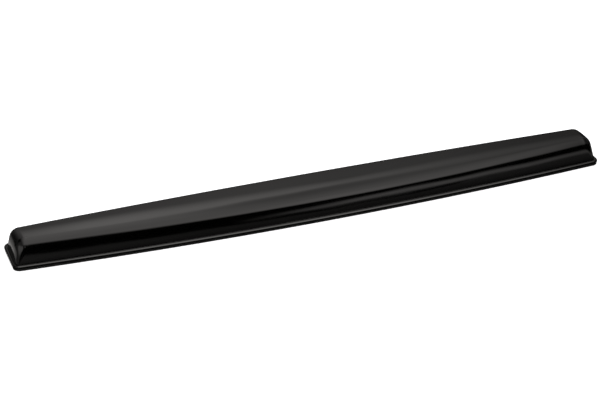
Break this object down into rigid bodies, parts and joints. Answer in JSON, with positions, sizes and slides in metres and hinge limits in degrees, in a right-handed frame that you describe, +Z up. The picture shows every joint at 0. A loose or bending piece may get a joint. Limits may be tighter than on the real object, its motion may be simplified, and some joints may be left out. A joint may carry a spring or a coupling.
{
  "type": "wrist rest",
  "caption": "Long low gel wrist rest with a glossy domed pad, a bowed front edge, a rounded welded rim and a dimpled rubber underside.",
  "frame": {"origin": "on the desk plane, at the centre of the footprint", "axes": "+X along the rest, +Y away from the user and towards the keyboard, +Z up"},
  "size_m": [0.471, 0.05, 0.0223],
  "materials": {
    "skin_film": "high gloss, smooth drawn film with faint waviness",
    "seal_film": "satin film",
    "gel": "clear soft gel, dyed black",
    "adhesive": "thin matte bonding sheet",
    "stiffener": "matte extruded sheet",
    "rubber": "matte moulded rubber with dimples"
  },
  "bodies": {
    "root": {"non_slip_sheet": "rubber", "rubber_adhesive": "adhesive", "stiffener_plate": "stiffener", "pouch_adhesive": "adhesive", "seal_film": "seal_film", "top_skin": "skin_film", "gel_core": "gel"}
  },
  "joints": []
}
